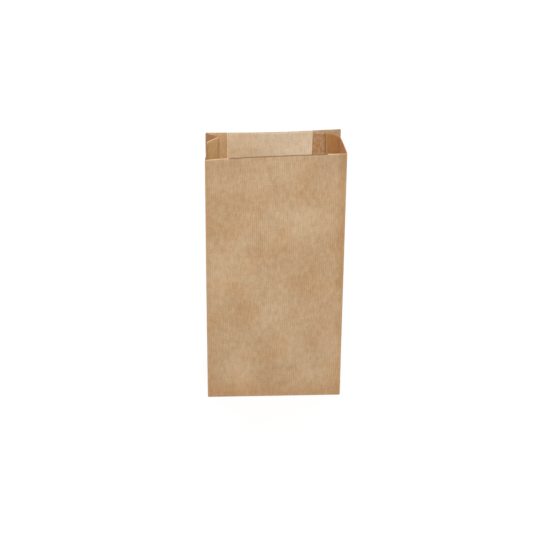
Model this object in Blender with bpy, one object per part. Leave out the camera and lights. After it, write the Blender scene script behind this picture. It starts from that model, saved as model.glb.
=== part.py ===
"""Brown paper lunch bag: one folded and glued sheet that stands open on its block bottom.

Metres, +Z up. The plain front panel faces -Y and the glued seam is in the back panel. The origin is
the middle of the bag's bounding box, on the surface that it stands on.

The tube of the bag is a loft of level cuts. Each cut follows the sheet round the bag: the front panel
from left to right, the right side, the back panel, and the left side. A side keeps its true length
at every height, so where its folds turn in, the bag gets shallower there, as paper does.
"""

import math
from collections import namedtuple
from itertools import pairwise

import bmesh
import bpy
from mathutils import Vector

# The squared-up bag and its paper
WIDTH = 0.130
DEPTH = 0.081
HEIGHT = 0.250
PLY = 0.00015

# Side folds: the centre crease is tucked in over the bottom, and the mouth is pinched behind it
TUCK = 0.0025
TUCK_FADES_AT = 0.150
PINCH_FROM_BACK = 0.0173
PINCH_EASE = 1.0

# How far the mouth's front corners stand from over the corners of the bottom
MOUTH_SHIFT_X = 0.0015
LEFT_MOUTH_SHIFT_Y = -0.0029
RIGHT_MOUTH_SHIFT_Y = 0.0101
SHIFT_EASE = 1.4

# Softness of the broad panels, as distances into the bag
FRONT_MOUTH_BOW = 0.0022
FRONT_BOW_LEAN = 0.75
BACK_MOUTH_BOW = 0.0038
MOUTH_BOW_EASE = 3.0
PANEL_BELLY = -0.0012
BACK_CREASE_DENT = 0.0010

# Glued seam down the back panel: where its inner flap ends, how wide it is, how far short it is cut
SEAM_FROM_MIDDLE = 0.0375
SEAM_LAP = 0.014
SEAM_SHORT_OF_RIM = 0.0022
STEP_RUN = 0.0003

# Block bottom: how far a flap passes the middle, and how far in from the corners its sides start
FLAP_PAST_MIDDLE = 0.008
FLAP_CORNER_INSET = 0.001

# Fineness of the loft
PANEL_SPANS = 10
PINCH_SPANS = 3
UPPER_SPANS = 13
CLOSING_ROUNDS = 4
CUT_TOLERANCE = 1e-7

# The bottom's layers from below: the back flap, the front flap, and the sides folded in between them
SIDE_TUCKS_AT = 2 * PLY
FLOOR_AT = 3 * PLY

# Mouth headings of a side panel's runs, in degrees turned inward from straight back: the front
# half of the panel, then each run from the centre crease to the pinch
Side = namedtuple("Side", "inward corner_shift_y headings")
LEFT = Side(inward=1, corner_shift_y=LEFT_MOUTH_SHIFT_Y, headings=(2.3, 10.0, 30.0, 36.0))
RIGHT = Side(inward=-1, corner_shift_y=RIGHT_MOUTH_SHIFT_Y, headings=(3.6, 18.0, 44.0, 41.0))

# One place on a level cut: its point, and how deep the sheet's outer and inner faces lie there
Station = namedtuple("Station", "point outer inner")


def half_columns():
    """Distances from a side panel's corner to its columns, out to the centre crease."""
    near = [PINCH_FROM_BACK * k / PINCH_SPANS for k in range(PINCH_SPANS + 1)]
    rest = DEPTH / 2 - PINCH_FROM_BACK
    return near + [PINCH_FROM_BACK + rest * k / PINCH_SPANS for k in range(1, PINCH_SPANS + 1)]


def side_columns():
    """Distances along a side panel, from its front corner to its back corner."""
    half = half_columns()
    return half + [DEPTH - at for at in reversed(half[:-1])]


def levels():
    """Heights of the cuts. The lowest match the columns, so that the corner creases run through both."""
    low = half_columns()
    seam_top = HEIGHT - SEAM_SHORT_OF_RIM
    rise = seam_top - STEP_RUN - low[-1]
    upper = [low[-1] + rise * k / UPPER_SPANS for k in range(1, UPPER_SPANS + 1)]
    return low + upper + [seam_top, HEIGHT]


def tuck_heading(along, height):
    """Inward turn of the side panel where the gusset's old creases pull it in over the bottom."""
    if min(along, DEPTH - along) > height:
        return 0.0
    fade = min(1.0, max(0.0, (TUCK_FADES_AT - height) / (TUCK_FADES_AT - DEPTH / 2)))
    slope = fade * TUCK / (DEPTH / 2)
    return slope if along < DEPTH / 2 else -slope


def pinch_heading(side, along):
    """Inward turn at the mouth of the stretch of side panel that holds this distance."""
    if along < DEPTH / 2:
        return math.radians(side.headings[0])
    run = int((along - DEPTH / 2) / (DEPTH / 2 - PINCH_FROM_BACK) * PINCH_SPANS)
    return math.radians(side.headings[1 + run]) if run < PINCH_SPANS else 0.0


def side_path(side, height):
    """(inward, back) distances of a side panel's columns from its front corner, at one height."""
    columns = side_columns()
    runs = [after - before for before, after in pairwise(columns)]
    middles = [(before + after) / 2 for before, after in pairwise(columns)]
    opened = (height / HEIGHT) ** PINCH_EASE
    turns = [opened * pinch_heading(side, m) + tuck_heading(m, height) for m in middles]
    # The arm behind the pinch turns until the panel ends in line with where it starts.
    arm = [k for k, m in enumerate(middles) if m > DEPTH - PINCH_FROM_BACK]
    for _ in range(CLOSING_ROUNDS):
        stray = sum(run * math.sin(turn) for run, turn in zip(runs, turns, strict=True))
        reach = sum(runs[k] * math.cos(turns[k]) for k in arm)
        for k in arm:
            turns[k] -= stray / reach
    path = [(0.0, 0.0)]
    for run, turn in zip(runs, turns, strict=True):
        inward, back = path[-1]
        path.append((inward + run * math.sin(turn), back + run * math.cos(turn)))
    return path


def side_points(side, height):
    """Points of a side panel's cut, from its front corner to its back corner."""
    shift = (height / HEIGHT) ** SHIFT_EASE
    x = -side.inward * WIDTH / 2 + shift * MOUTH_SHIFT_X
    y = -DEPTH / 2 + shift * side.corner_shift_y
    return [Vector((x + side.inward * inward, y + back)) for inward, back in side_path(side, height)]


def belly(height):
    """Swell of a broad panel, which the bottom and the mouth hold flat."""
    return PANEL_BELLY * math.sin(math.pi * height / HEIGHT)


def front_bow(across, height):
    """Depth of the front panel's bow at a share of the way across it."""
    mouth = FRONT_MOUTH_BOW * (height / HEIGHT) ** MOUTH_BOW_EASE
    return mouth * math.sin(math.pi * across**FRONT_BOW_LEAN) + belly(height) * math.sin(math.pi * across)


def back_bow(across, height):
    """Depth of the back panel's bow, with the dent of the crease that the bottom was folded up along."""
    mouth = BACK_MOUTH_BOW * (height / HEIGHT) ** MOUTH_BOW_EASE
    dent = BACK_CREASE_DENT * max(0.0, 1 - abs(height - DEPTH / 2) / (DEPTH / 2))
    return (mouth + belly(height) + dent) * math.sin(math.pi * across)


def back_faces(from_middle, in_lap):
    """Depths of the back panel's outer and inner faces. The seam's two free edges are one ply each."""
    outer = PLY if from_middle > SEAM_FROM_MIDDLE + SEAM_LAP else 0.0
    inner = 2 * PLY if in_lap and from_middle > SEAM_FROM_MIDDLE else PLY
    return outer, max(inner, outer + PLY)


def back_shares():
    """Shares of the way across the back panel, right to left, with a pair at each edge of the seam."""
    edges = (SEAM_FROM_MIDDLE, SEAM_FROM_MIDDLE + SEAM_LAP)
    steps = [0.5 - (edge + side * STEP_RUN / 2) / WIDTH for edge in edges for side in (-1, 1)]
    even = [k / PANEL_SPANS for k in range(1, PANEL_SPANS)]
    clear = [u for u in even if min(abs(u - step) for step in steps) > 0.25 / PANEL_SPANS]
    return sorted(clear + steps)


def level_cut(height):
    """The stations of one level cut, anticlockwise from the front left corner."""
    left, right = side_points(LEFT, height), side_points(RIGHT, height)
    in_lap = height < HEIGHT - SEAM_SHORT_OF_RIM
    cut = [Station(left[0], 0.0, PLY)]
    for k in range(1, PANEL_SPANS):
        across = k / PANEL_SPANS
        point = left[0].lerp(right[0], across) + Vector((0, front_bow(across, height)))
        cut.append(Station(point, 0.0, PLY))
    cut += [Station(point, 0.0, PLY) for point in right[:-1]]
    corner_faces = back_faces(WIDTH / 2, in_lap)
    cut.append(Station(right[-1], *corner_faces))
    for across in back_shares():
        point = right[-1].lerp(left[-1], across) - Vector((0, back_bow(across, height)))
        cut.append(Station(point, *back_faces((0.5 - across) * WIDTH, in_lap)))
    cut += [Station(point, 0.0, PLY) for point in reversed(left[1:])]
    return cut


def inset(cut, depths):
    """The cut's points moved into the bag, each by its own depth, square to the sheet."""
    moved = []
    for k, (station, depth) in enumerate(zip(cut, depths, strict=True)):
        before = (station.point - cut[k - 1].point).normalized()
        after = (cut[(k + 1) % len(cut)].point - station.point).normalized()
        normals = [Vector((-way.y, way.x)) for way in (before, after)]
        mitre = (normals[0] + normals[1]).normalized()
        moved.append(station.point + mitre * (depth / mitre.dot(normals[0])))
    return moved


def add_ring(bm, points, z):
    return [bm.verts.new((point.x, point.y, z)) for point in points]


def crease_rises(row, column):
    """Whether a corner crease crosses this cell of a side panel, and if it rises towards the back."""
    last = len(side_columns()) - 2
    if row >= len(half_columns()) - 1:
        return None
    if column == row:
        return True
    return False if column == last - row else None


def add_wall(bm, rings, outward):
    """Faces between successive rings. Cells that a corner crease crosses are split along it."""
    size = len(rings[0])
    spans = len(side_columns()) - 1
    right_start = PANEL_SPANS
    left_start = size - spans
    for row, (lower, upper) in enumerate(pairwise(rings)):
        for k in range(size):
            after = (k + 1) % size
            a, b, c, d = lower[k], lower[after], upper[after], upper[k]
            rises = None
            if right_start <= k < right_start + spans:
                rises = crease_rises(row, k - right_start)
            elif k >= left_start:
                back_to_front = crease_rises(row, spans - 1 - (k - left_start))
                rises = None if back_to_front is None else not back_to_front
            if rises is None:
                cells = [(a, b, c, d)]
            elif rises:
                cells = [(a, b, c), (a, c, d)]
            else:
                cells = [(a, b, d), (b, c, d)]
            for cell in cells:
                bm.faces.new(cell if outward else cell[::-1])


def cut_faces(bm, faces, point, normal):
    """Cuts level faces along a line and returns all the pieces."""
    geometry = set(faces)
    for face in faces:
        geometry.update(face.edges)
        geometry.update(face.verts)
    done = bmesh.ops.bisect_plane(
        bm, geom=list(geometry), dist=CUT_TOLERANCE, plane_co=point, plane_no=normal
    )
    return [item for item in done["geom"] if isinstance(item, bmesh.types.BMFace)]


def lower_faces(bm, faces, drop):
    """Extrudes a region of the bottom down and returns the lowered faces."""
    edges = {edge for face in faces for edge in face.edges}
    made = bmesh.ops.extrude_face_region(bm, geom=faces + list(edges))["geom"]
    corners = [item for item in made if isinstance(item, bmesh.types.BMVert)]
    bmesh.ops.translate(bm, vec=(0, 0, -drop), verts=corners)
    return [item for item in made if isinstance(item, bmesh.types.BMFace)]


def add_bottom_flaps(bm, base):
    """Lays the two bottom flaps under the base: trapezoids whose ends run in at 45 degrees."""
    half_width = WIDTH / 2 - FLAP_CORNER_INSET
    faces = [base]
    for hinge in (-1, 1):
        for end in (-1, 1):
            start = Vector((end * half_width, hinge * DEPTH / 2, SIDE_TUCKS_AT))
            faces = cut_faces(bm, faces, start, Vector((end, -hinge, 0)))
    free_edge = Vector((0, -FLAP_PAST_MIDDLE, SIDE_TUCKS_AT))
    faces = cut_faces(bm, faces, free_edge, Vector((0, 1, 0)))

    def under_flap(face, hinge, past):
        centre = face.calc_center_median()
        from_hinge = DEPTH / 2 - hinge * centre.y
        return from_hinge < DEPTH / 2 + past and abs(centre.x) < half_width - from_hinge

    front_or_back = [f for f in faces if under_flap(f, 1, FLAP_PAST_MIDDLE) or under_flap(f, -1, 0)]
    lowered = lower_faces(bm, front_or_back, PLY)
    back = [face for face in lowered if under_flap(face, 1, FLAP_PAST_MIDDLE)]
    lower_faces(bm, back, PLY)


def build_bag():
    """The whole bag as one closed body."""
    bm = bmesh.new()
    outer_rings, inner_rings = [], []
    for height in levels():
        cut = level_cut(height)
        outer = inset(cut, [station.outer for station in cut])
        inner = inset(cut, [station.inner for station in cut])
        outer_rings.append(add_ring(bm, outer, max(height, SIDE_TUCKS_AT)))
        inner_rings.append(add_ring(bm, inner, max(height, FLOOR_AT)))
    add_wall(bm, outer_rings, outward=True)
    add_wall(bm, inner_rings, outward=False)
    add_wall(bm, [outer_rings[-1], inner_rings[-1]], outward=True)
    bm.faces.new(inner_rings[0])
    base = bm.faces.new(outer_rings[0][::-1])
    add_bottom_flaps(bm, base)
    return bm


def over_origin(bm):
    """Moves the bag so that its bounding box stands centred over the origin."""
    xs = [vert.co.x for vert in bm.verts]
    ys = [vert.co.y for vert in bm.verts]
    middle = Vector(((min(xs) + max(xs)) / 2, (min(ys) + max(ys)) / 2, 0))
    bmesh.ops.translate(bm, vec=-middle, verts=bm.verts)


def kraft_paper():
    """Unbleached brown paper, matt."""
    material = bpy.data.materials.new("kraft_paper")
    material.use_nodes = True
    shader = material.node_tree.nodes["Principled BSDF"]
    shader.inputs["Base Color"].default_value = (0.53, 0.36, 0.20, 1.0)
    shader.inputs["Roughness"].default_value = 0.85
    shader.inputs["Metallic"].default_value = 0.0
    material.diffuse_color = (0.53, 0.36, 0.20, 1.0)
    return material


def main():
    for thing in list(bpy.data.objects):
        bpy.data.objects.remove(thing, do_unlink=True)
    bm = build_bag()
    over_origin(bm)
    mesh = bpy.data.meshes.new("paper_bag")
    bm.to_mesh(mesh)
    bm.free()
    bag = bpy.data.objects.new("paper_bag", mesh)
    bag.data.materials.append(kraft_paper())
    bpy.context.scene.collection.objects.link(bag)


main()
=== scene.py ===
"""Looks of the brown paper lunch bag: one kraft sheet, folded up from its flat blank, in a small studio.

Metres, +Z up. The bag's plain front faces -Y. A place on the flat blank is given by its distance along the
sheet, from the outer edge of the glued seam, and its height over the fold of the bottom. The same two
numbers are the sheet's UV map, so ribs, fibres and mottling follow the paper round every fold.
"""

import logging
import math
from bisect import bisect_right
from collections.abc import Mapping, Sequence
from dataclasses import dataclass, field
from enum import Enum
from functools import lru_cache
from itertools import pairwise

import bmesh
import bpy
from mathutils import Matrix, Vector, noise


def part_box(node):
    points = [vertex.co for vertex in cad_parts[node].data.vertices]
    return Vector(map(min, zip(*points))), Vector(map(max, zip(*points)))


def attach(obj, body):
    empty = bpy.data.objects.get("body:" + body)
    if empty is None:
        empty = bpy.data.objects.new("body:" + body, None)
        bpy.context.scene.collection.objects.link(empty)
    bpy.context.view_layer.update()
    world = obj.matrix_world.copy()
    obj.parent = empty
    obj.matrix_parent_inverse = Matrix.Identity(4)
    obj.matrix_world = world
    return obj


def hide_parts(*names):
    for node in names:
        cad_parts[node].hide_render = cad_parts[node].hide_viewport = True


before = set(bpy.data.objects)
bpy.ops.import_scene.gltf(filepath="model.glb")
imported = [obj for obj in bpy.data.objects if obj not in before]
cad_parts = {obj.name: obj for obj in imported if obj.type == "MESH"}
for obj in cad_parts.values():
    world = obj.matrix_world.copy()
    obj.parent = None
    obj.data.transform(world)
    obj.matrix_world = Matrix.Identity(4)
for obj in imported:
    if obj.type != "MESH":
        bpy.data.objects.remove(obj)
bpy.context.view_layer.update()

UV_NAME = "sheet"
CREASE_NAME = "crease"
MM = 0.001
SNAP = 1e-7
HEIGHT_DIGITS = 7
NOISE_ROUGHNESS = 0.55
WHITE = (1.0, 1.0, 1.0, 1.0)

log = logging.getLogger("paper_bag")


def smoothstep(low: float, high: float, value: float) -> float:
    """Rises smoothly from 0 at low to 1 at high.

    Args:
        low: Value where the rise starts.
        high: Value where it ends.
        value: Value to place.

    Returns:
        A share from 0 to 1.
    """
    share = min(1.0, max(0.0, (value - low) / (high - low)))
    return share * share * (3 - 2 * share)


def lerp(start: float, end: float, share: float) -> float:
    """The value at a share of the way from start to end."""
    return start + (end - start) * share


class Panel(Enum):
    """The stretches of the blank, in the order in which they go round the bag."""

    BACK = "back"
    LEFT = "left"
    FRONT = "front"
    RIGHT = "right"
    LAP = "lap"


@dataclass(frozen=True)
class SideFold:
    """How one side panel folds in at the mouth.

    Attributes:
        inward: Direction along X that leads into the bag.
        corner_shift_y: How far the mouth's front corner stands behind the bottom's.
        headings: Stops of (distance from the front corner, degrees turned inward at the mouth).
    """

    inward: int
    corner_shift_y: float
    headings: tuple[tuple[float, float], ...]

    def heading(self, along: float) -> float:
        """The rim's inward turn at a distance from the front corner.

        Args:
            along: Distance from the panel's front corner.

        Returns:
            The turn in radians.
        """
        stops = self.headings
        at = bisect_right([stop[0] for stop in stops], along)
        if at == 0 or at == len(stops):
            return math.radians(stops[min(at, len(stops) - 1)][1])
        before, after = stops[at - 1], stops[at]
        share = (along - before[0]) / (after[0] - before[0])
        return math.radians(lerp(before[1], after[1], share))


@dataclass(frozen=True)
class LevelCut:
    """The bag's outline at one height: each side panel's path, which the broad panels join.

    Attributes:
        knots: Distances from a side panel's front corner.
        left: Points of the left side panel at the knots.
        right: Points of the right side panel at the knots.
    """

    knots: tuple[float, ...]
    left: tuple[Vector, ...]
    right: tuple[Vector, ...]

    def on_side(self, points: Sequence[Vector], along: float) -> Vector:
        """The point at a distance along a side panel.

        Args:
            points: The side panel's points at the knots.
            along: Distance from its front corner.

        Returns:
            The level point.
        """
        at = min(len(self.knots) - 2, max(0, bisect_right(self.knots, along) - 1))
        run = self.knots[at + 1] - self.knots[at]
        return points[at].lerp(points[at + 1], (along - self.knots[at]) / run)


# How many layers of the bottom lie below each panel's own flap, and below its folded corners.
LAYERS_BELOW = {Panel.BACK: 0, Panel.FRONT: 1, Panel.LAP: 1, Panel.LEFT: 4, Panel.RIGHT: 4}
LAYERS_BELOW_CORNER = 2.5
FRONT_CORNER_LAYER = 2
BACK_CORNER_LAYER = 3


@dataclass
class FoldedSheet:
    """The bag's one sheet of paper: a straight-cut blank, scored, folded, lapped and closed at the bottom.

    Attributes:
        width: Width of the broad panels.
        depth: Width of the side panels.
        height: Height of the standing bag.
        ply: Thickness of the paper.
        glue_gap: Gap between two layers of the bottom.
        tuck: How far the gusset's old creases pull the sides in, at the bottom's crease.
        tuck_fades_at: Height at which that pull has faded.
        pinch_from_back: Distance of the sides' pinch from the back corners, along the sheet.
        shift_x: How far the mouth stands to the right of the bottom.
        shift_ease: Power of the height with which the mouth's shift sets in.
        left: The left side fold.
        right: The right side fold.
        front_mouth_bow: Inward bow of the front panel at the mouth.
        front_bow_lean: Power that moves the front's deepest place to the right, below 1.
        back_mouth_bow: Inward bow of the back panel at the mouth.
        mouth_bow_ease: Power of the height with which the mouth's bows set in.
        belly: Bow of the broad panels at half height. Below 0 it is outward.
        back_crease_dent: Dent of the back panel along its crosswise crease.
        seam_from_middle: Distance of the seam's free inner edge from the back's middle.
        seam_lap: Width over which the seam's two plies lie on each other.
        seam_short_of_rim: How far the inner ply ends below the rim.
        seam_settles: Distance from the corner over which the inner ply comes to lie on its layer.
        fold_line_from_middle: Place of the back's pressed line.
        fold_line_step: Depth of the step at that line, at the mouth.
        fold_line_run: Width of that step.
        step_fades_from: Share of the way from the back's middle to its left corner where the step fades.
        flap_past_middle: How far the bottom's flaps reach past its middle.
        corner_clearance: Gap beside a corner that is folded back.
        layer_settles: Distance from a fold over which a flap comes to lie on its layer.
        cell: Greatest distance between two rows or columns of the blank.
        cut_tolerance: Distance at which a scored crease takes a point that is there already.
        crease_radius: Radius of a fold.
        crease_columns: Places of columns beside a crease, in crease radii.
        path_step: Step with which a side panel is followed.
        closing_rounds: Rounds in which the pinch's far arm is turned to end at the back corner.
        rounding_reach: Reach of the smoothing beside a fold, in crease radii.
        rounding_passes: Rounds of that smoothing.
        sharp_angle: Angle in degrees from which an edge is drawn sharp.
        wave: Height of the paper's broad waves.
        wave_lengths: Lengths of the broad waves, in millimetres of sheet.
        ripple: Height of the paper's fine ripples.
        ripple_length: Length of the ripples across and up the sheet, in millimetres.
        wave_room: Distance from a fold at which the waves have their full height.
        wear_reach: Reach of a fold's wear.
        seed_offset: Place in the noise, which fixes the waves.
    """

    width: float = 0.130
    depth: float = 0.081
    height: float = 0.250
    ply: float = 0.00015
    glue_gap: float = 0.00002

    tuck: float = 0.0025
    tuck_fades_at: float = 0.150
    pinch_from_back: float = 0.0173
    shift_x: float = 0.0015
    shift_ease: float = 1.4
    left: SideFold = SideFold(
        inward=1,
        corner_shift_y=-0.0029,
        headings=(
            (0.0, 5.0), (0.018, 3.0), (0.024, 0.7), (0.045, 0.7), (0.047, 22.0), (0.051, 37.0), (0.063, 44.0)
        ),
    )
    right: SideFold = SideFold(
        inward=-1,
        corner_shift_y=0.0101,
        headings=((0.0, 3.0), (0.043, 3.8), (0.046, 33.0), (0.051, 40.0), (0.054, 50.0), (0.063, 44.0)),
    )

    front_mouth_bow: float = 0.0022
    front_bow_lean: float = 0.75
    back_mouth_bow: float = 0.0038
    mouth_bow_ease: float = 3.0
    belly: float = -0.0012
    back_crease_dent: float = 0.0010

    seam_from_middle: float = 0.0375
    seam_lap: float = 0.014
    seam_short_of_rim: float = 0.0022
    seam_settles: float = 0.006
    fold_line_from_middle: float = -0.0443
    fold_line_step: float = 0.0003
    fold_line_run: float = 0.0006
    step_fades_from: float = 0.6
    flap_past_middle: float = 0.008
    corner_clearance: float = 0.0004
    layer_settles: float = 0.0010

    cell: float = 0.0023
    cut_tolerance: float = 0.00002
    crease_radius: float = 0.0004
    crease_columns: tuple[float, ...] = (-2.5, -1.0, 0.0, 1.0, 2.5)
    path_step: float = 0.001
    closing_rounds: int = 4
    rounding_reach: float = 1.5
    rounding_passes: int = 3
    sharp_angle: float = 50.0
    wave: float = 0.00040
    wave_lengths: tuple[float, float] = (46, 21)
    ripple: float = 0.00007
    ripple_length: tuple[float, float] = (7, 15)
    wave_room: float = 0.022
    wear_reach: float = 0.0011
    seed_offset: Vector = field(default_factory=lambda: Vector((3.7, 1.9, 8.2)))

    def __post_init__(self) -> None:
        """Works out where the blank's panels start, and how high the bottom's layers lie."""
        self.lap_outer_edge = self.width / 2 - self.seam_from_middle - self.seam_lap
        self.starts = {
            Panel.BACK: 0.0,
            Panel.LEFT: self.width - self.lap_outer_edge,
            Panel.FRONT: self.width - self.lap_outer_edge + self.depth,
            Panel.RIGHT: 2 * self.width - self.lap_outer_edge + self.depth,
            Panel.LAP: 2 * self.width - self.lap_outer_edge + 2 * self.depth,
        }
        self.blank_width = self.starts[Panel.LAP] + self.width / 2 - self.seam_from_middle
        self.flap_length = self.depth / 2 + self.flap_past_middle
        self.layer = self.ply + self.glue_gap
        self.pinch_at = self.depth - self.pinch_from_back
        self.level_cut = lru_cache(maxsize=None)(self._level_cut)

    def columns(self) -> list[float]:
        """Places the blank's columns, close together at the creases.

        Returns:
            Their distances along the blank.
        """
        left, front = self.starts[Panel.LEFT], self.starts[Panel.FRONT]
        right, lap = self.starts[Panel.RIGHT], self.starts[Panel.LAP]
        creases = [left, left + self.pinch_from_back, left + self.depth / 2, front]
        creases += [right, right + self.depth / 2, right + self.pinch_at, lap]
        step = self.width / 2 - self.lap_outer_edge - self.fold_line_from_middle
        edges = [step - self.fold_line_run, step, lap + self.lap_outer_edge]
        return self.spaced(0.0, self.blank_width, creases, edges)

    def rows(self) -> list[float]:
        """Heights of the blank's rows over the fold of the bottom."""
        short = self.height - self.seam_short_of_rim
        return self.spaced(-self.flap_length, self.height, [0.0, self.depth / 2], [short])

    def spaced(
        self, start: float, end: float, creases: Sequence[float], edges: Sequence[float]
    ) -> list[float]:
        """Even places from start to end, with more beside each crease.

        Args:
            start: First place.
            end: Last place.
            creases: Places of folds, each of which gets two more places on either side.
            edges: Places of cuts and steps, each of which gets one place.

        Returns:
            The places in order.
        """
        beside = [k * self.crease_radius for k in self.crease_columns]
        fixed = {start, end, *edges}
        fixed.update(crease + off for crease in creases for off in beside)
        places = [start]
        for before, after in pairwise(sorted(fixed)):
            count = max(1, round((after - before) / self.cell))
            places += [lerp(before, after, (k + 1) / count) for k in range(count)]
        return places

    def panel_at(self, u: float) -> tuple[Panel, float]:
        """The panel that holds a distance along the blank.

        Args:
            u: Distance along the blank.

        Returns:
            The panel, and the distance on it: from the right corner on the back panel and the lap, from the
            left corner on the front, and from the front corner on a side.
        """
        panel = [p for p in Panel if self.starts[p] <= u + SNAP][-1]
        on = max(0.0, u - self.starts[panel])
        if panel is Panel.BACK:
            return panel, on + self.lap_outer_edge
        if panel is Panel.LEFT:
            return panel, self.depth - on
        return panel, on

    def tuck_heading(self, along: float, height: float) -> float:
        """Inward turn of a side panel where the gusset's old creases pull it in over the bottom.

        Args:
            along: Distance from the panel's front corner.
            height: Height over the bottom.

        Returns:
            The turn in radians, outward behind the panel's middle.
        """
        if min(along, self.depth - along) > height:
            return 0.0
        half = self.depth / 2
        fade = min(1.0, max(0.0, (self.tuck_fades_at - height) / (self.tuck_fades_at - half)))
        slope = fade * self.tuck / half
        return slope if along < half else -slope

    def side_path(
        self, side: SideFold, height: float
    ) -> tuple[tuple[float, ...], list[tuple[float, float]]]:
        """Follows a side panel at one height, with its true length.

        Args:
            side: The side panel.
            height: Height over the bottom.

        Returns:
            Distances from the front corner, and how far in and back the panel stands at each.
        """
        count = round(self.depth / self.path_step)
        even = {self.depth * k / count for k in range(count + 1)}
        knots = tuple(sorted(even | {self.depth / 2, self.pinch_at}))
        runs = [after - before for before, after in pairwise(knots)]
        middles = [(before + after) / 2 for before, after in pairwise(knots)]
        opened = max(0.0, height) / self.height
        turns = [
            (opened * side.heading(m) if m < self.pinch_at else 0.0) + self.tuck_heading(m, height)
            for m in middles
        ]
        arm = [k for k, m in enumerate(middles) if m > self.pinch_at]
        for _ in range(self.closing_rounds):
            stray = sum(run * math.sin(turn) for run, turn in zip(runs, turns, strict=True))
            reach = sum(runs[k] * math.cos(turns[k]) for k in arm)
            for k in arm:
                turns[k] -= stray / reach
        path = [(0.0, 0.0)]
        for run, turn in zip(runs, turns, strict=True):
            inward, back = path[-1]
            path.append((inward + run * math.sin(turn), back + run * math.cos(turn)))
        return knots, path

    def _level_cut(self, height: float) -> LevelCut:
        """The bag's outline at one height.

        Args:
            height: Height over the bottom.

        Returns:
            Both side panels' paths, in the bag's own frame.
        """
        sides = []
        shift = (max(0.0, height) / self.height) ** self.shift_ease
        for side in (self.left, self.right):
            knots, path = self.side_path(side, height)
            x = -side.inward * self.width / 2 + shift * self.shift_x
            y = -self.depth / 2 + shift * side.corner_shift_y
            sides.append(tuple(Vector((x + side.inward * i, y + b, 0.0)) for i, b in path))
        return LevelCut(knots, *sides)

    def front_bow(self, across: float, height: float) -> float:
        """Depth of the front panel's bow.

        Args:
            across: Share of the way across the panel, from its left.
            height: Height over the bottom.

        Returns:
            How far the panel stands inward of the straight line between its corners.
        """
        mouth = self.front_mouth_bow * (height / self.height) ** self.mouth_bow_ease
        swell = self.belly * math.sin(math.pi * height / self.height)
        leaning = math.sin(math.pi * across**self.front_bow_lean)
        return mouth * leaning + swell * math.sin(math.pi * across)

    def back_bow(self, across: float, height: float) -> float:
        """Depth of the back panel's bow, with its crosswise crease and the pressed line down its left.

        Args:
            across: Share of the way across the panel, from its right corner.
            height: Height over the bottom.

        Returns:
            How far the panel stands inward of the straight line between its corners.
        """
        opened = height / self.height
        mouth = self.back_mouth_bow * opened**self.mouth_bow_ease
        swell = self.belly * math.sin(math.pi * opened)
        half = self.depth / 2
        dent = self.back_crease_dent * max(0.0, 1 - abs(height - half) / half)
        from_middle = (0.5 - across) * self.width
        past_line = (self.fold_line_from_middle - from_middle) / self.fold_line_run
        step = self.fold_line_step * opened * smoothstep(0.0, 1.0, past_line)
        to_left_corner = (across - 0.5) * 2
        step *= 1 - smoothstep(self.step_fades_from, 1.0, to_left_corner)
        return (mouth + swell + dent) * math.sin(math.pi * across) - step

    def waviness(self, u: float, v: float, room: float) -> float:
        """How far the paper stands off its smooth shape.

        Args:
            u: Distance along the blank.
            v: Height on the blank.
            room: Distance to the nearest fold, which holds the paper still.

        Returns:
            The distance, towards the inside of the bag.
        """
        place = Vector((u, v, 0.0)) / MM
        long, short = self.wave_lengths
        broad = noise.noise(place / long + self.seed_offset)
        broad += 0.5 * noise.noise(place / short + 2 * self.seed_offset)
        across, up = self.ripple_length
        small = noise.noise(Vector((place.x / across, place.y / up, 0)) + self.seed_offset)
        held = smoothstep(0.0, self.wave_room, room)
        return held * (self.wave * broad + self.ripple * small)

    def hinge(self, panel: Panel, on: float) -> float:
        """Height of the bottom fold, which each panel has at its own layer of the bottom.

        Args:
            panel: The panel.
            on: Distance on the panel, as panel_at gives it.

        Returns:
            The height. At a corner it is the same for both panels that meet there.
        """
        length = self.depth if panel in (Panel.LEFT, Panel.RIGHT) else self.width
        share = smoothstep(0.0, self.layer_settles, min(on, length - on))
        return self.layer * lerp(LAYERS_BELOW_CORNER, LAYERS_BELOW[panel], share)

    def wall_point(self, panel: Panel, on: float, u: float, v: float) -> Vector:
        """Place of a point of the bag's walls.

        Args:
            panel: The panel that holds the point.
            on: Distance on that panel, as panel_at gives it.
            u: Distance along the blank.
            v: Height over the fold of the bottom.

        Returns:
            The point.
        """
        cut = self.level_cut(round(v, HEIGHT_DIGITS))
        if panel is Panel.FRONT:
            across = on / self.width
            room = min(on, self.width - on, v)
            point = cut.left[0].lerp(cut.right[0], across)
            point.y += self.front_bow(across, v) + self.waviness(u, v, room)
        elif panel in (Panel.BACK, Panel.LAP):
            across = on / self.width
            room = min(on, self.width - on, v)
            point = cut.right[-1].lerp(cut.left[-1], across)
            u_back = on - self.lap_outer_edge
            point.y -= self.back_bow(across, v) + self.waviness(u_back, v, room)
            if panel is Panel.LAP:
                point.y -= self.layer * smoothstep(0.0, self.seam_settles, on)
        else:
            side, points = (self.left, cut.left) if panel is Panel.LEFT else (self.right, cut.right)
            point = cut.on_side(points, on)
            room = min(on, abs(self.depth / 2 - on), v) if on < self.depth / 2 else 0.0
            point.x += side.inward * self.waviness(u, v, room)
        lift = self.hinge(panel, on) * (1 - v / self.height)
        return Vector((point.x, point.y, v + lift))

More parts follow.
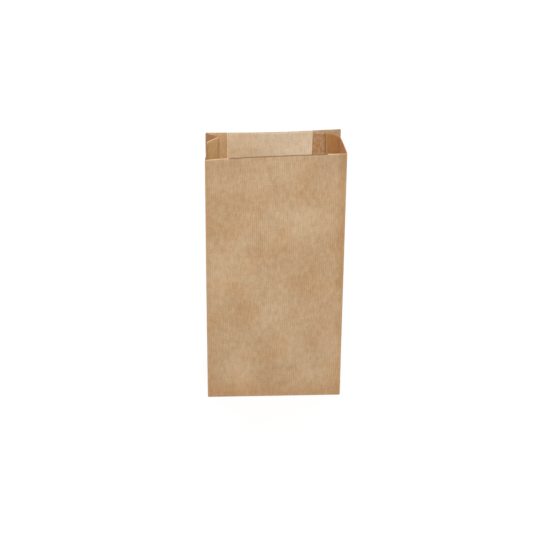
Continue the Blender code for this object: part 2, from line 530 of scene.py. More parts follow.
    def floor_point(self, panel: Panel, on: float, past: float) -> Vector:
        """Place of a point of the bottom.

        Args:
            panel: The panel that the flap hangs on.
            on: Distance on that panel, as panel_at gives it.
            past: Distance past the fold of the bottom.

        Returns:
            The point. A corner that lies outside its flap's 45 degree crease is folded back over it.
        """
        clear = self.corner_clearance * smoothstep(0.0, self.layer_settles, past)
        if panel in (Panel.LEFT, Panel.RIGHT):
            x, y = past, lerp(clear, self.depth - clear, on / self.depth)
            toward = 1 if panel is Panel.LEFT else -1
            level = LAYERS_BELOW[panel] * self.layer
            point = Vector((toward * (x - self.width / 2), y - self.depth / 2, 0))
        else:
            front = panel is Panel.FRONT
            from_start = on if front else self.width - on
            near = min(from_start, self.width - from_start)
            toward = 1 if from_start < self.width / 2 else -1
            outward = -1 if front else 1
            over = past - near
            if over > 0:
                x, y = past, near + clear
                level = (FRONT_CORNER_LAYER if front else BACK_CORNER_LAYER) * self.layer + self.ply
            else:
                x, y = near, past
                level = LAYERS_BELOW[panel] * self.layer
            point = Vector((toward * (x - self.width / 2), outward * (self.depth / 2 - y), 0))
        settled = smoothstep(0.0, self.layer_settles, past)
        point.z = lerp(self.hinge(panel, on), level, settled)
        return point

    def place(self, u: float, v: float) -> Vector:
        """Where a point of the blank comes to lie on the folded bag."""
        panel, on = self.panel_at(u)
        return self.wall_point(panel, on, u, v) if v >= 0 else self.floor_point(panel, on, -v)

    def crease_lines(self) -> list[tuple[Vector, Vector, tuple[float, float]]]:
        """The 45 degree creases of the side panels and of the bottom's flaps.

        Returns:
            Each crease's start, its direction and the stretch of the blank that it crosses.
        """
        left, front = self.starts[Panel.LEFT], self.starts[Panel.FRONT]
        right, lap = self.starts[Panel.RIGHT], self.starts[Panel.LAP]
        half, flap = self.depth / 2, self.flap_length
        creases = []
        for start, end in ((left, front), (right, lap)):
            creases.append((start, (1, 1), (start, start + half)))
            creases.append((end, (-1, 1), (end - half, end)))
        creases.append((front, (1, -1), (front, front + flap)))
        creases.append((right, (-1, -1), (right - flap, right)))
        creases.append((left, (-1, -1), (left - flap, left)))
        creases.append((lap, (1, -1), (lap, self.blank_width)))
        creases.append((-self.lap_outer_edge, (1, -1), (0.0, flap)))
        return [(Vector((at, 0, 0)), Vector((*way, 0)), span) for at, way, span in creases]

    def score(self, bm: bmesh.types.BMesh, start: Vector, along: Vector, span: tuple[float, float]) -> None:
        """Scores a straight 45 degree crease into the blank.

        Args:
            bm: The flat blank.
            start: A point on the crease.
            along: The crease's direction, which rises in the walls and falls in the bottom.
            span: The stretch of the blank, along its length, that it crosses.
        """
        reach = self.depth / 2 if along.y > 0 else self.flap_length
        low, high = (0.0, reach) if along.y > 0 else (-reach, 0.0)
        chosen = set()
        for face in bm.faces:
            middle = face.calc_center_median()
            if span[0] < middle.x < span[1] and low < middle.y < high:
                chosen.update((face, *face.edges, *face.verts))
        normal = Vector((-along.y, along.x, 0)).normalized()
        bmesh.ops.bisect_plane(
            bm, geom=list(chosen), dist=self.cut_tolerance, plane_co=start, plane_no=normal
        )

    def blank(self) -> bmesh.types.BMesh:
        """The flat sheet, cut and scored, with its UV map.

        Returns:
            A bmesh in the XY plane.
        """
        columns, rows = self.columns(), self.rows()
        bm = bmesh.new()
        bmesh.ops.create_grid(bm, x_segments=len(columns) - 1, y_segments=len(rows) - 1, size=0.5)
        for vert in bm.verts:
            column = round((vert.co.x + 0.5) * (len(columns) - 1))
            row = round((vert.co.y + 0.5) * (len(rows) - 1))
            vert.co = (columns[column], rows[row], 0.0)
        beside = self.crease_radius * math.sqrt(2)
        for start, along, span in self.crease_lines():
            for off in (0.0,) if along.y > 0 else (-beside, 0.0, beside):
                self.score(bm, start + Vector((off, 0, 0)), along, span)
        notch_u = self.starts[Panel.LAP] + self.lap_outer_edge
        notch_v = self.height - self.seam_short_of_rim
        middles = {face: face.calc_center_median() for face in bm.faces}
        cut_away = [face for face, m in middles.items() if m.x > notch_u and m.y > notch_v]
        bmesh.ops.delete(bm, geom=cut_away, context="FACES")
        uv = bm.loops.layers.uv.new(UV_NAME)
        for face in bm.faces:
            for loop in face.loops:
                loop[uv].uv = loop.vert.co.xy
        return bm

    def crease_wear(self, u: float, v: float) -> float:
        """How worn the paper is by a fold nearby.

        Args:
            u: Distance along the blank.
            v: Height over the fold of the bottom.

        Returns:
            The wear, from 0 to 1.
        """
        panel, on = self.panel_at(u)
        if panel in (Panel.LEFT, Panel.RIGHT):
            folds = [on, self.depth - on, abs(on - self.depth / 2)]
            folds += [abs(min(on, self.depth - on) - v) if 0 < v < self.depth / 2 else 1.0]
            folds += [abs(on - self.pinch_at)]
        else:
            folds = [on, self.width - on]
            if panel is not Panel.FRONT:
                folds.append(abs(v - self.depth / 2))
        near = min([*folds, abs(v)])
        return math.exp(-((near / self.wear_reach) ** 2))

    def build(self) -> bpy.types.Object:
        """Folds the blank and gives it its thickness.

        Returns:
            The sheet as an object at the origin, with its place in its mesh.
        """
        bm = self.blank()
        wear = bm.verts.layers.float.new(CREASE_NAME)
        folded = []
        fold_columns = [self.starts[p] for p in (Panel.LEFT, Panel.FRONT, Panel.RIGHT, Panel.LAP)]
        fold_columns.append(self.starts[Panel.LEFT] + self.pinch_from_back)
        fold_columns.append(self.starts[Panel.RIGHT] + self.pinch_at)
        reach = self.rounding_reach * self.crease_radius
        for vert in bm.verts:
            u, v = vert.co.x, vert.co.y
            vert[wear] = self.crease_wear(u, v)
            beside_column = min(abs(u - column) for column in fold_columns) < reach
            if (beside_column and v > -reach) or abs(v) < reach:
                folded.append(vert)
            vert.co = self.place(u, v)
        for _ in range(self.rounding_passes):
            bmesh.ops.smooth_vert(
                bm, verts=folded, factor=0.5, use_axis_x=True, use_axis_y=True, use_axis_z=True
            )
        self.centre_on_frame(bm)
        mesh = bpy.data.meshes.new("folded_sheet")
        bm.to_mesh(mesh)
        bm.free()
        mesh.shade_smooth()
        mesh.set_sharp_from_angle(angle=math.radians(self.sharp_angle))
        sheet = bpy.data.objects.new("folded_sheet", mesh)
        bpy.context.scene.collection.objects.link(sheet)
        thickness = sheet.modifiers.new("ply", "SOLIDIFY")
        thickness.thickness = self.ply
        thickness.offset = -1.0
        thickness.material_offset = 1
        thickness.material_offset_rim = 2
        return sheet

    def centre_on_frame(self, bm: bmesh.types.BMesh) -> None:
        """Moves the sheet, level, to the middle of the frame's bag.

        Args:
            bm: The folded sheet.
        """
        low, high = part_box("paper_bag")
        xs = [vert.co.x for vert in bm.verts]
        ys = [vert.co.y for vert in bm.verts]
        middle = Vector(((min(xs) + max(xs)) / 2, (min(ys) + max(ys)) / 2, 0))
        target = (low + high) / 2
        bmesh.ops.translate(bm, vec=Vector((target.x, target.y, 0)) - middle, verts=bm.verts)


class Value:
    """A number that varies over a surface: a shader socket with Python's arithmetic."""

    def __init__(self, shader: "Shader", socket: bpy.types.NodeSocket) -> None:
        """Wraps an output socket of a shader's node."""
        self.shader = shader
        self.socket = socket

    def __add__(self, other: "Value | float") -> "Value":
        """Sum."""
        return self.shader.maths("ADD", self, other)

    __radd__ = __add__

    def __sub__(self, other: "Value | float") -> "Value":
        """Difference."""
        return self.shader.maths("SUBTRACT", self, other)

    def __rsub__(self, other: float) -> "Value":
        """Difference from a number."""
        return self.shader.maths("SUBTRACT", other, self)

    def __mul__(self, other: "Value | float") -> "Value":
        """Product."""
        return self.shader.maths("MULTIPLY", self, other)

    __rmul__ = __mul__

    def __truediv__(self, other: "Value | float") -> "Value":
        """Quotient."""
        return self.shader.maths("DIVIDE", self, other)

    def __abs__(self) -> "Value":
        """Size without sign."""
        return self.shader.maths("ABSOLUTE", self, 0.0)


Setting = str | int | float | bool
Source = Value | float | tuple[float, ...]


class Shader:
    """A material's node tree, with one way to add a node."""

    def __init__(self, name: str) -> None:
        """Makes an empty material of this name around a Principled shader."""
        self.material = bpy.data.materials.new(name)
        self.material.use_nodes = True
        self.tree = self.material.node_tree
        self.surface = self.tree.nodes["Principled BSDF"]

    def node(
        self,
        kind: str,
        settings: Mapping[str, Setting] | None = None,
        inputs: Mapping[str | int, Source] | None = None,
        output: str | int = 0,
    ) -> Value:
        """Adds a node.

        Args:
            kind: The node's type.
            settings: Its own properties, set before its sockets.
            inputs: Values or links of its sockets, by name or number.
            output: The socket to return.

        Returns:
            The chosen output.
        """
        made = self.tree.nodes.new(kind)
        for key, setting in (settings or {}).items():
            setattr(made, key, setting)
        for key, source in (inputs or {}).items():
            self.feed(made.inputs[key], source)
        return Value(self, made.outputs[output])

    def feed(self, socket: bpy.types.NodeSocket, source: Source) -> None:
        """Links a value to a socket, or sets a constant on it.

        Args:
            socket: An input socket of a node in this material.
            source: The value or constant.
        """
        if isinstance(source, Value):
            self.tree.links.new(source.socket, socket)
        else:
            socket.default_value = source

    def maths(self, operation: str, first: Source, second: Source) -> Value:
        """Adds a Math node."""
        return self.node("ShaderNodeMath", {"operation": operation}, {0: first, 1: second})

    def clamp(self, value: Value) -> Value:
        """Holds a value between 0 and 1."""
        return self.node("ShaderNodeClamp", inputs={"Value": value})

    def rise(self, value: Value, low: float, high: float) -> Value:
        """Smooth rise of a value.

        Args:
            value: The value.
            low: Where the rise starts.
            high: Where it ends.

        Returns:
            A share from 0 to 1.
        """
        return self.node(
            "ShaderNodeMapRange",
            {"interpolation_type": "SMOOTHSTEP"},
            {"Value": value, "From Min": low, "From Max": high},
        )

    def mix(self, factor: Value | float, first: Source, second: Source) -> Value:
        """Mixes two colours."""
        return self.node("ShaderNodeMix", {"data_type": "RGBA"}, {0: factor, 6: first, 7: second}, output=2)

    def multiply(self, factor: Value | float, first: Source, second: Source) -> Value:
        """Multiplies one colour by another.

        Args:
            factor: How far the product replaces the first colour, from 0 to 1.
            first: The colour.
            second: The colour that it is multiplied by, which may be above 1.

        Returns:
            The colour, not clamped.
        """
        settings = {"data_type": "RGBA", "blend_type": "MULTIPLY", "clamp_result": False}
        return self.node("ShaderNodeMix", settings, {0: factor, 6: first, 7: second}, output=2)


Colour = tuple[float, float, float, float]


def srgb(red: int, green: int, blue: int) -> Colour:
    """A colour as it shows on a screen, from 0 to 255, as the linear colour that shaders take.

    Args:
        red: Red.
        green: Green.
        blue: Blue.

    Returns:
        The linear colour, opaque.
    """

    def linear(level: int) -> float:
        """One channel, from 0 to 255, as a linear share."""
        share = level / 255
        return share / 12.92 if share <= 0.04045 else ((share + 0.055) / 1.055) ** 2.4

    return (linear(red), linear(green), linear(blue), 1.0)


class Face(Enum):
    """Which surface of the sheet a finish is for."""

    OUTSIDE = "kraft_outside"
    INSIDE = "kraft_inside"
    CUT_EDGE = "kraft_cut_edge"


@dataclass(frozen=True)
class PaintedLightAndTint:
    """A stretch along the sheet whose colour differs, mostly painted light and shade, and in places the
    paper's own tone. Lengths are in millimetres.

    Attributes:
        panel: The panel from whose start on the blank the distances are taken.
        start: Where the stretch starts.
        end: Where it ends.
        factor: Factor on the paper's red, green and blue.
        soft_start: Half the width over which it sets in.
        soft_end: Half the width over which it ends.
        mottled: How strongly it shows in blotches rather than evenly, from 0 to 1.
        above: Height from which it shows, or None where it runs up the whole sheet.
        soft_above: Half the height over which it sets in.
    """

    panel: Panel
    start: float
    end: float
    factor: tuple[float, float, float]
    soft_start: float = 0.3
    soft_end: float = 0.3
    mottled: float = 0.0
    above: float | None = None
    soft_above: float = 0.15


@dataclass(frozen=True)
class Lumps:
    """One kind of soft noise on the sheet.

    Attributes:
        width: Width of a lump, along the sheet, in millimetres.
        height: Height of a lump, up the sheet, in millimetres.
        detail: How many finer levels it has.
        weight: How much it counts in the paper's tone.
    """

    width: float
    height: float
    detail: float = 2.0
    weight: float = 0.0


@dataclass(frozen=True)
class KraftFinish:
    """Unbleached ribbed kraft paper: fine ribs and fibres up the sheet, soft clouds, and worn folds, with
    painted light and shade in stretches of the sheet and at the foot of its walls.

    Lengths are in millimetres of paper.

    Attributes:
        face: The surface of the sheet that the finish is for.
        dark: The paper's darkest tone.
        light: Its lightest tone.
        worn: Its colour at a worn fold.
        painted_light_and_tints: Stretches of the sheet whose colour differs, mostly painted light and shade.
        foot: Factor on the colour beside the fold of the bottom, if it differs: painted shade at the foot of
            the walls.
        foot_height: Height over which that fades.
        hem: Factor on the colour right at that fold: a painted shade line along it.
        hem_start: Distance from the fold at which the hem starts to fade.
        hem_height: Distance at which it has faded.
        clouds: Broad clouds.
        mottle: Mottling.
        fibres: Fibres up the sheet.
        grain: Grain.
        rib_pitch: Distance between two ribs.
        rib_contrast: How much the ribs count in the paper's tone.
        rib_wander: How far the ribs stray, in radians of their wave.
        wander: The noise with which they stray.
        rib_patches: The noise that says where the ribs show clearly.
        rib_patch_range: The stretch of that noise over which they come up.
        rib_least: How clearly ribs show where they show least.
        stain: The warm stains.
        stain_range: The stretch of their noise over which they come up.
        stain_factor: Factor on the colour where they are strongest.
        blotches: The blotches of a mottled tint.
        blotch_range: The stretch of their noise over which they come up.
        wear: How far a worn fold takes its own colour.
        roughness: The paper's roughness.
        roughness_spread: How much the fibres change it.
        gloss: The paper's specular level.
        relief: How much ribs, fibres and grain each stand out.
        relief_strength: Strength of that relief.
        relief_depth: Its depth in metres.
    """

    face: Face
    dark: Colour
    light: Colour
    worn: Colour
    painted_light_and_tints: tuple[PaintedLightAndTint, ...] = ()
    foot: tuple[float, float, float] | None = None
    foot_height: float = 24.0
    hem: tuple[float, float, float] = (0.74, 0.66, 0.58)
    hem_start: float = 0.3
    hem_height: float = 1.0
    clouds: Lumps = Lumps(44.0, 57.2, weight=0.9)
    mottle: Lumps = Lumps(5.0, 6.0, detail=4.0, weight=0.65)
    fibres: Lumps = Lumps(0.9, 9.0, detail=3.0, weight=0.9)
    grain: Lumps = Lumps(0.8, 1.1, weight=1.1)
    rib_pitch: float = 1.9
    rib_contrast: float = 0.25
    rib_wander: float = 9.0
    wander: Lumps = Lumps(60.0, 120.0, detail=1.0)
    rib_patches: Lumps = Lumps(26.0, 40.0)
    rib_patch_range: tuple[float, float] = (0.35, 0.68)
    rib_least: float = 0.2
    stain: Lumps = Lumps(31.0, 27.0)
    stain_range: tuple[float, float] = (0.50, 0.72)
    stain_factor: tuple[float, float, float] = (1.0, 0.95, 0.89)
    blotches: Lumps = Lumps(2.1, 2.7, detail=1.5)
    blotch_range: tuple[float, float] = (0.30, 0.66)
    wear: float = 0.45
    roughness: float = 0.78
    roughness_spread: float = 0.16
    gloss: float = 0.28
    relief: tuple[float, float, float] = (0.6, 0.7, 0.5)
    relief_strength: float = 0.35
    relief_depth: float = 0.00012

    def sheet_place(self, shader: Shader) -> Value:
        """The place on the flat blank, in millimetres.

        Args:
            shader: The material's nodes.

        Returns:
            The place, along the sheet and up it.
        """
        flat = shader.node("ShaderNodeUVMap", {"uv_map": UV_NAME})
        return shader.node(
            "ShaderNodeMapping", inputs={"Vector": flat, "Scale": (1 / MM, 1 / MM, 1 / MM)}
        )

    def cloud(self, shader: Shader, place: Value, lumps: Lumps) -> Value:
        """Soft noise over the sheet.

        Args:
            shader: The material's nodes.
            place: The place on the flat blank.
            lumps: The size of its lumps.

        Returns:
            The noise, around a half.
        """
        scale = (1 / lumps.width, 1 / lumps.height, 1.0)
        stretched = shader.node("ShaderNodeMapping", inputs={"Vector": place, "Scale": scale})
        return shader.node(
            "ShaderNodeTexNoise",
            {"noise_dimensions": "2D"},
            {"Vector": stretched, "Scale": 1.0, "Detail": lumps.detail, "Roughness": NOISE_ROUGHNESS},
        )

    def with_painted_light_and_tints(self, shader: Shader, place: Value, colour: Value, sheet: FoldedSheet) -> Value:
        """Paints light and shade, and the paper's own tone, on the stretches of the sheet that differ, and
        shade at the foot of the walls.

        Args:
            shader: The material's nodes.
            place: The place on the flat blank.
            colour: The paper's colour.
            sheet: The sheet, which says where its panels start.

        Returns:
            The colour with its painted light and shade.
        """
        across = shader.node("ShaderNodeSeparateXYZ", inputs={0: place}, output="X")
        up = shader.node("ShaderNodeSeparateXYZ", inputs={0: place}, output="Y")
        blotches = shader.rise(self.cloud(shader, place, self.blotches), *self.blotch_range)
        for tint in self.painted_light_and_tints:
            origin = sheet.starts[tint.panel] / MM
            start, end = origin + tint.start, origin + tint.end
            begun = shader.rise(across, start - tint.soft_start, start + tint.soft_start)
            ended = shader.rise(across, end - tint.soft_end, end + tint.soft_end)
            shown = begun - ended
            if tint.mottled:
                shown = shown * (blotches * tint.mottled + (1 - tint.mottled))
            if tint.above is not None:
                bottom, top = tint.above - tint.soft_above, tint.above + tint.soft_above
                shown = shown * shader.rise(up, bottom, top)
            colour = shader.multiply(shown, colour, (*tint.factor, 1.0))
        # Painted shade at the foot of the walls, strongest along the bottom's fold.
        if self.foot:
            over_fold = abs(up)
            near_fold = 1 - shader.rise(over_fold, 0.0, self.foot_height)
            colour = shader.multiply(near_fold, colour, (*self.foot, 1.0))
            at_fold = 1 - shader.rise(over_fold, self.hem_start, self.hem_height)
            colour = shader.multiply(at_fold, colour, (*self.hem, 1.0))
        return colour

    def build(self, sheet: FoldedSheet) -> bpy.types.Material:
        """Makes the material for a sheet.

        Args:
            sheet: The sheet, which says where its panels start.

        Returns:
            The material.
        """
        shader = Shader(self.face.value)
        place = self.sheet_place(shader)
        clouds = self.cloud(shader, place, self.clouds) - 0.5
        mottle = self.cloud(shader, place, self.mottle) - 0.5
        fibres = self.cloud(shader, place, self.fibres) - 0.5
        grain = self.cloud(shader, place, self.grain) - 0.5
        ribs = self.ribs(shader, place)
        tone = (
            clouds * self.clouds.weight
            + mottle * self.mottle.weight
            + fibres * self.fibres.weight
            + grain * self.grain.weight
            + ribs * self.rib_contrast
            + 0.5
        )
        colour = shader.mix(shader.clamp(tone), self.dark, self.light)
        stained = shader.rise(self.cloud(shader, place, self.stain), *self.stain_range)
        colour = shader.multiply(stained, colour, (*self.stain_factor, 1.0))
        colour = self.with_painted_light_and_tints(shader, place, colour, sheet)
        crease = shader.node("ShaderNodeAttribute", {"attribute_name": CREASE_NAME}, output="Fac")
        worn = shader.clamp(crease * self.wear * (fibres + 1.0))
        colour = shader.mix(worn, colour, self.worn)
        shader.feed(shader.surface.inputs["Base Color"], colour)
        roughness = fibres * self.roughness_spread + self.roughness
        shader.feed(shader.surface.inputs["Roughness"], roughness)
        shader.feed(shader.surface.inputs["Specular IOR Level"], self.gloss)
        rib_relief, fibre_relief, grain_relief = self.relief
        height = ribs * rib_relief + fibres * fibre_relief + grain * grain_relief
        relief = {"Strength": self.relief_strength, "Distance": self.relief_depth, "Height": height}
        normal = shader.node("ShaderNodeBump", inputs=relief, output="Normal")
        shader.feed(shader.surface.inputs["Normal"], normal)
        return shader.material

    def ribs(self, shader: Shader, place: Value) -> Value:
        """The paper's ribs up the sheet, which stray a little and show in patches.

        Args:
            shader: The material's nodes.
            place: The place on the flat blank.

        Returns:
            The ribs' wave, from -0.5 to 0.5 where they show most.
        """
        across = shader.node("ShaderNodeSeparateXYZ", inputs={0: place}, output="X")
        strays = self.cloud(shader, place, self.wander) * self.rib_wander
        wave = shader.maths("SINE", across * (math.tau / self.rib_pitch) + strays, 0.0) * 0.5
        patches = shader.rise(self.cloud(shader, place, self.rib_patches), *self.rib_patch_range)
        return wave * (patches * (1 - self.rib_least) + self.rib_least)


OUTSIDE = KraftFinish(
    Face.OUTSIDE,
    dark=srgb(176, 140, 99),
    light=srgb(210, 181, 147),
    worn=srgb(204, 170, 130),
    painted_light_and_tints=(
        # The left side: painted shade, reddish, at the mouth from its back corner to the pinch, in the
        # fold's groove, and painted shade, a little darker, at its front corner.
        PaintedLightAndTint(Panel.LEFT, 0, 19, (0.76, 0.55, 0.46), soft_end=6.0, above=226.0, soft_above=20.0),
        PaintedLightAndTint(Panel.LEFT, 77, 84, (0.96, 0.90, 0.84), soft_start=3.0, soft_end=3.0),
        # The front: a little darker towards its two corners, painted shade where the panel bows away from
        # the light.
        PaintedLightAndTint(Panel.FRONT, 0, 22, (0.97, 0.95, 0.93), soft_end=18.0),
        PaintedLightAndTint(Panel.FRONT, 108, 130, (0.97, 0.95, 0.93), soft_start=18.0),
        # The front's top: a little darker, most at its right, with a painted shadow line along the rim
        # between painted highlights at its two ends.
        # Painted highlight at the rim's left end.
        PaintedLightAndTint(Panel.FRONT, 1, 22, (1.50, 1.54, 1.58), above=249.1),
        PaintedLightAndTint(Panel.FRONT, -1, 131, (0.93, 0.92, 0.91), above=236.0, soft_above=14.0),
        PaintedLightAndTint(Panel.FRONT, 100, 131, (0.91, 0.90, 0.89), soft_start=14.0, above=230.0, soft_above=18.0),
        # Painted shadow line along the rim.
        PaintedLightAndTint(Panel.FRONT, 22, 112, (0.60, 0.54, 0.48), above=248.9, soft_above=0.2),
        # Painted highlight at the rim's right end.
        PaintedLightAndTint(Panel.FRONT, 112, 129, (1.50, 1.54, 1.58), above=249.1),
        # The right side: painted shade, warm, where it turns from the light at its front corner, and painted
        # shade, dull, at the mouth behind its pinch.
        PaintedLightAndTint(Panel.RIGHT, -7.5, 5, (0.92, 0.86, 0.79), soft_start=1.2, above=120.0, soft_above=90.0),
        PaintedLightAndTint(Panel.RIGHT, -3.5, 5, (0.95, 0.90, 0.82), soft_start=1.5, soft_end=3.0),
        PaintedLightAndTint(Panel.RIGHT, 63, 81, (0.82, 0.80, 0.82), soft_start=3.0, above=240.0, soft_above=8.0),
    ),
    # Painted shade at the foot of the walls, darker and warmer near the bottom's fold.
    foot=(0.96, 0.87, 0.77),
)
INSIDE = KraftFinish(
    Face.INSIDE,
    dark=srgb(182, 148, 110),
    light=srgb(212, 183, 148),
    worn=srgb(216, 184, 145),
    painted_light_and_tints=(
        # The back: painted light, pale, from the seam to the pressed line and palest towards the seam, for
        # light that shines through the single ply; browner to the left of that line.
        PaintedLightAndTint(Panel.BACK, 14.0, 95.8, (1.30, 1.47, 1.67), soft_end=0.2),
        PaintedLightAndTint(Panel.BACK, 14.0, 55.0, (1.12, 1.18, 1.27), soft_end=35.0),
        # Painted highlight on the pressed line's ridge, with a painted shadow line just to its left.
        PaintedLightAndTint(Panel.BACK, 94.9, 95.9, (1.10, 1.12, 1.06), soft_start=0.2, soft_end=0.2),
        PaintedLightAndTint(Panel.BACK, 95.9, 96.7, (0.90, 0.86, 0.82), soft_start=0.2, soft_end=0.2),
        PaintedLightAndTint(Panel.BACK, 95.8, 116.5, (1.07, 1.01, 0.93), soft_start=0.2),
        # Painted highlight on a faint crease left of the pressed line.
        PaintedLightAndTint(Panel.BACK, 101.2, 102.1, (1.06, 1.05, 1.03), soft_start=0.2, soft_end=0.2),
        # The sides: warmer than the back, painted as the shade and warm light that bounce between the walls,
        # the right side darker, most just in front of its pinch, with a painted highlight down the right
        # side's pinch.
        PaintedLightAndTint(Panel.LEFT, 0.0, 81.0, (1.26, 1.16, 0.91)),
        PaintedLightAndTint(Panel.RIGHT, 0.0, 45.0, (1.42, 1.42, 1.65), soft_end=2.0),
        PaintedLightAndTint(Panel.RIGHT, 0.0, 62.9, (0.87, 0.61, 0.36)),
        PaintedLightAndTint(Panel.RIGHT, 62.9, 64.2, (1.25, 1.15, 1.05), soft_start=0.4, soft_end=0.4),
        # Painted shade behind the right side's pinch.
        PaintedLightAndTint(Panel.RIGHT, 64.2, 81.0, (0.90, 0.80, 0.70)),
        # The seam's strip: brown and mottled, with a painted highlight down its right edge, which lightens
        # the shadow behind the right side's pinch.
        PaintedLightAndTint(Panel.LAP, 12.0, 27.5, (0.80, 0.60, 0.43), mottled=0.7),
        PaintedLightAndTint(Panel.LAP, 12.0, 14.2, (1.30, 1.30, 1.25), soft_start=0.4, soft_end=0.4),
        # The rim: dull along the back, and a painted highlight along the sides.
        PaintedLightAndTint(Panel.BACK, 0.0, 116.5, (0.80, 0.76, 0.74), above=249.2),
        PaintedLightAndTint(Panel.LEFT, 0.0, 81.0, (1.16, 1.20, 1.26), above=249.3),
        PaintedLightAndTint(Panel.RIGHT, 0.0, 81.0, (1.16, 1.20, 1.26), above=249.3),
        PaintedLightAndTint(Panel.LAP, 0.0, 27.5, (0.90, 0.87, 0.85), above=249.2),
    ),
)
CUT_EDGE = KraftFinish(
    Face.CUT_EDGE, dark=srgb(186, 156, 122), light=srgb(206, 178, 146), worn=srgb(202, 174, 140)
)


@dataclass
class PaperBag:
    """The bag, dressed: the folded sheet with a finish for each face of the paper."""

    sheet: FoldedSheet = field(default_factory=FoldedSheet)
    finishes: tuple[KraftFinish, ...] = (OUTSIDE, INSIDE, CUT_EDGE)

    def build(self) -> bpy.types.Object:
        """Builds the bag in the frame's place of its solid.

        Returns:
            The folded sheet.
        """
        piece = self.sheet.build()
        for finish in self.finishes:
            piece.data.materials.append(finish.build(self.sheet))
        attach(piece, "root")
        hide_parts("paper_bag")
        return piece


@dataclass(frozen=True)
class Lamp:
    """A square soft lamp that looks at the bag.

    Attributes:
        name: The lamp's name.
        turn: Degrees round the bag, 0 in front and 90 to the right.
        rise: Degrees above the floor.
        distance: Distance from the bag.
        size: Side of the lamp.
        power: Watts.
    """

    name: str
    turn: float
    rise: float
    distance: float
    size: float
    power: float


LAMPS = (
    Lamp("key", turn=1, rise=35, distance=2.7, size=1.1, power=53),
    Lamp("left_fill", turn=-60, rise=35, distance=2.0, size=1.4, power=5),
    Lamp("back_left", turn=-145, rise=38, distance=2.0, size=1.2, power=14),
    Lamp("back_right", turn=135, rise=38, distance=2.0, size=1.2, power=16),
)


def direction(turn: float, rise: float) -> Vector:
    """The direction from the bag to something that looks at it.

    Args:
        turn: Radians round the bag, 0 in front and a right angle to the right.
        rise: Radians above the floor.

    Returns:
        The direction, of length 1.
    """
    return Vector(
        (math.sin(turn) * math.cos(rise), -math.cos(turn) * math.cos(rise), math.sin(rise))
    )


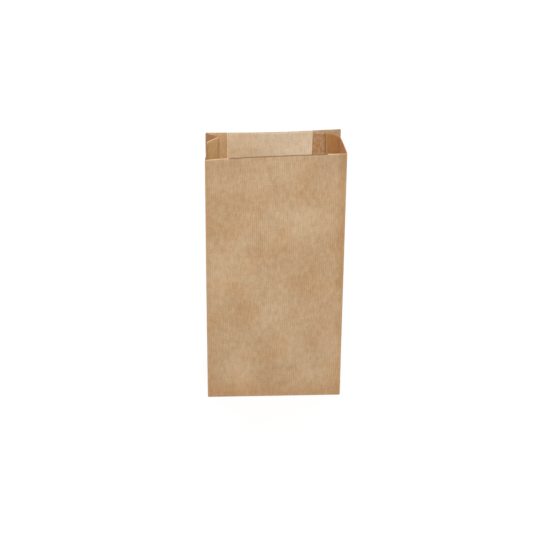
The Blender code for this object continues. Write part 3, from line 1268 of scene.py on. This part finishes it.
@dataclass
class Studio:
    """A plain pale floor, soft light and the camera.

    Attributes:
        floor_size: Side of the floor.
        floor_drop: How far the floor lies below the bag, so that the two don't flicker.
        floor_tone: How light the floor is for the light that it scatters.
        floor_roughness: The floor's roughness.
        floor_gloss: The floor's specular level.
        glow: Brightness with which the floor shows to the camera.
        glow_share: How far that takes the place of the lit floor.
        camera_turn: Degrees of the camera round the bag.
        camera_rise: Degrees of the camera above the floor.
        camera_roll: Degrees by which the camera is rolled.
        camera_distance: Distance of the camera from its target.
        camera_target: The point that it looks at.
        camera_lens: Focal length in millimetres.
        sensor_width: Width of its sensor in millimetres.
        clip: Nearest and farthest distance that it sees.
        ambient: Strength of the even light from all round.
        lamps: The lamps.
    """

    floor_size: float = 6.0
    floor_drop: float = 0.0001
    floor_tone: float = 0.55
    floor_roughness: float = 0.9
    floor_gloss: float = 0.1
    glow: float = 1.14
    glow_share: float = 0.8
    camera_turn: float = -2.521
    camera_rise: float = 25.869
    camera_roll: float = 0.287
    camera_distance: float = 1.3093
    camera_target: tuple[float, float, float] = (0.00142, 0.0, 0.11339)
    camera_lens: float = 87.93
    sensor_width: float = 36.0
    clip: tuple[float, float] = (0.05, 50.0)
    ambient: float = 0.16
    lamps: tuple[Lamp, ...] = LAMPS

    def build_floor(self) -> bpy.types.Object:
        """Makes a floor that looks white to the camera but keeps the bag's shadow.

        Returns:
            The floor.
        """
        bm = bmesh.new()
        bmesh.ops.create_grid(bm, x_segments=1, y_segments=1, size=self.floor_size / 2)
        bmesh.ops.translate(bm, vec=(0, 0, -self.floor_drop), verts=bm.verts)
        mesh = bpy.data.meshes.new("floor")
        bm.to_mesh(mesh)
        bm.free()
        floor = bpy.data.objects.new("floor", mesh)
        bpy.context.scene.collection.objects.link(floor)
        shader = Shader("studio_floor")
        grey = (self.floor_tone, self.floor_tone, self.floor_tone, 1.0)
        shader.feed(shader.surface.inputs["Base Color"], grey)
        shader.feed(shader.surface.inputs["Roughness"], self.floor_roughness)
        shader.feed(shader.surface.inputs["Specular IOR Level"], self.floor_gloss)
        seen = self.seen_directly(shader)
        glow = shader.node("ShaderNodeEmission", inputs={"Color": WHITE, "Strength": self.glow})
        lit = Value(shader, shader.surface.outputs[0])
        mixed = shader.node("ShaderNodeMixShader", inputs={0: seen * self.glow_share, 1: lit, 2: glow})
        output = shader.tree.nodes["Material Output"]
        shader.tree.links.new(mixed.socket, output.inputs["Surface"])
        mesh.materials.append(shader.material)
        return floor

    def seen_directly(self, shader: Shader) -> Value:
        """Tells rays that show a surface from light that it scatters.

        Args:
            shader: The surface's nodes.

        Returns:
            1 where a camera, mirror or glass ray meets the surface, and 0 otherwise.
        """
        camera = shader.node("ShaderNodeLightPath", output="Is Camera Ray")
        glossy = shader.node("ShaderNodeLightPath", output="Is Glossy Ray")
        through = shader.node("ShaderNodeLightPath", output="Is Transmission Ray")
        return shader.clamp(camera + glossy + through)

    def build_world(self) -> None:
        """Even white surroundings: soft as light, plain white as background."""
        world = bpy.data.worlds.new("studio")
        bpy.context.scene.world = world
        world.use_nodes = True
        tree = world.node_tree
        background = tree.nodes["Background"]
        background.inputs["Color"].default_value = WHITE
        path = tree.nodes.new("ShaderNodeLightPath")
        strength = tree.nodes.new("ShaderNodeMapRange")
        strength.inputs["To Min"].default_value = self.ambient
        strength.inputs["To Max"].default_value = 1.0
        tree.links.new(path.outputs["Is Camera Ray"], strength.inputs["Value"])
        tree.links.new(strength.outputs["Result"], background.inputs["Strength"])

    def build_lamp(self, lamp: Lamp) -> bpy.types.Object:
        """Hangs a lamp.

        Args:
            lamp: Where it hangs, and how strong it is.

        Returns:
            The lamp's object.
        """
        light = bpy.data.lights.new(lamp.name, "AREA")
        light.size = lamp.size
        light.energy = lamp.power
        hung = bpy.data.objects.new(lamp.name, light)
        bpy.context.scene.collection.objects.link(hung)
        back = direction(math.radians(lamp.turn), math.radians(lamp.rise))
        hung.location = Vector(self.camera_target) + back * lamp.distance
        hung.rotation_euler = back.to_track_quat("Z", "Y").to_euler()
        return hung

    def build_camera(self) -> bpy.types.Object:
        """Places the camera where it stood for the reference view.

        Returns:
            The camera, which is the scene's own.
        """
        turn, rise = math.radians(self.camera_turn), math.radians(self.camera_rise)
        roll = math.radians(self.camera_roll)
        back = direction(turn, rise)
        level = Vector((math.cos(turn), math.sin(turn), 0.0))
        upright = back.cross(level)
        right = math.cos(roll) * level + math.sin(roll) * upright
        up = math.cos(roll) * upright - math.sin(roll) * level
        data = bpy.data.cameras.new("camera")
        data.lens = self.camera_lens
        data.sensor_width = self.sensor_width
        data.clip_start, data.clip_end = self.clip
        camera = bpy.data.objects.new("camera", data)
        bpy.context.scene.collection.objects.link(camera)
        turned = Matrix((right, up, back)).transposed().to_4x4()
        place = Vector(self.camera_target) + back * self.camera_distance
        camera.matrix_world = Matrix.Translation(place) @ turned
        bpy.context.scene.camera = camera
        return camera

    def build(self) -> None:
        """Builds the floor, the light and the camera."""
        self.build_camera()
        self.build_floor()
        self.build_world()
        for lamp in self.lamps:
            self.build_lamp(lamp)
        bpy.context.scene.view_settings.view_transform = "Standard"


def main() -> None:
    """Builds the bag and its studio, and reports each piece."""
    logging.basicConfig(level=logging.INFO, format="%(name)s: %(message)s")
    piece = PaperBag().build()
    log.info("%s: %d faces before its thickness", piece.name, len(piece.data.polygons))
    Studio().build()
    bpy.context.view_layer.update()


if __name__ == "__main__":
    main()
